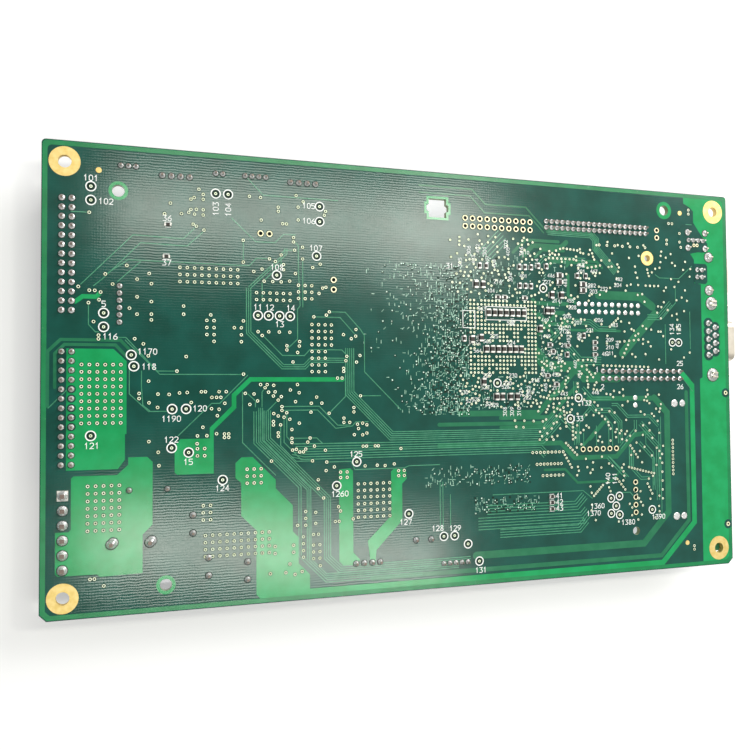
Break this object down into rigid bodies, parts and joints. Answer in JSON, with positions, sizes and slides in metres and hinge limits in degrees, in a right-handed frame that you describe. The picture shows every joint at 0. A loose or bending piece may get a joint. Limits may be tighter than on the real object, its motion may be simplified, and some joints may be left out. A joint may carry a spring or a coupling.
{
  "type": "printer main board",
  "caption": "Main circuit board of a label printer, shown solder side up: shrouded headers, sockets, serial and device ports, capacitors and chips on the far side.",
  "frame": {"origin": "centre of the four corner fixing holes, on the solder face", "axes": "+X along the board's long edge towards the ports, +Y along its short edge, +Z out of the solder face"},
  "size_m": [0.2302, 0.129, 0.0156],
  "materials": {
    "laminate": "glossy dark blue-green solder mask on glass laminate",
    "black_moulding": "fine matt moulding",
    "white_moulding": "satin natural moulding",
    "power_moulding": "satin natural moulding of the power connector",
    "contact_wire": "tinned and gold-flashed wire",
    "plated_shell": "nickel-plated folded and drawn sheet",
    "capacitor_can": "dark sleeve with bare aluminium end",
    "ferrite": "sintered ferrite, dark grey",
    "film_box": "matt potted box",
    "chip_moulding": "matt black moulding compound",
    "heat_tab": "tinned tab",
    "chip_body": "sintered chip with tinned ends",
    "crystal_can": "plated can"
  },
  "bodies": {
    "root": {"aux_socket_contacts": "contact_wire", "aux_socket_insulator": "black_moulding", "aux_socket_shell": "plated_shell", "board": "laminate", "capacitor_1": "capacitor_can", "capacitor_2": "capacitor_can", "capacitor_3": "capacitor_can", "capacitor_4": "capacitor_can", "capacitor_leads": "contact_wire", "choke_base": "black_moulding", "choke_core": "ferrite", "choke_leads": "contact_wire", "crystals": "crystal_can", "cutter_socket": "white_moulding", "device_socket_contacts": "contact_wire", "device_socket_insulator": "white_moulding", "device_socket_shell": "plated_shell", "feed_motor_socket": "white_moulding", "film_capacitor": "film_box", "film_capacitor_leads": "contact_wire", "fine_socket_pins": "contact_wire", "flash_chip": "chip_moulding", "gate_array": "chip_moulding", "head_switch_socket": "white_moulding", "interface_controller": "chip_moulding", "interface_header": "black_moulding", "interface_header_pins": "contact_wire", "keypad_socket": "white_moulding", "label_sensor_socket": "white_moulding", "logic_chips": "chip_moulding", "memory_chips": "chip_moulding", "motor_drivers": "chip_moulding", "motor_socket_pins": "contact_wire", "option_header": "black_moulding", "option_header_pins": "contact_wire", "panel_header": "black_moulding", "panel_header_pins": "contact_wire", "power_connector": "power_moulding", "power_connector_pins": "contact_wire", "power_inductors": "ferrite", "power_package_bodies": "chip_moulding", "power_package_tabs": "heat_tab", "print_head_header": "black_moulding", "print_head_header_pins": "contact_wire", "processor": "chip_moulding", "rewind_motor_socket": "white_moulding", "ribbon_motor_socket": "white_moulding", "ribbon_sensor_socket": "white_moulding", "serial_brackets": "plated_shell", "serial_contacts": "contact_wire", "serial_insulator": "black_moulding", "serial_screw_locks": "plated_shell", "serial_shell": "plated_shell", "solder_side_chips": "chip_body", "surface_capacitor_base": "black_moulding", "surface_capacitor_can": "capacitor_can"}
  },
  "joints": []
}
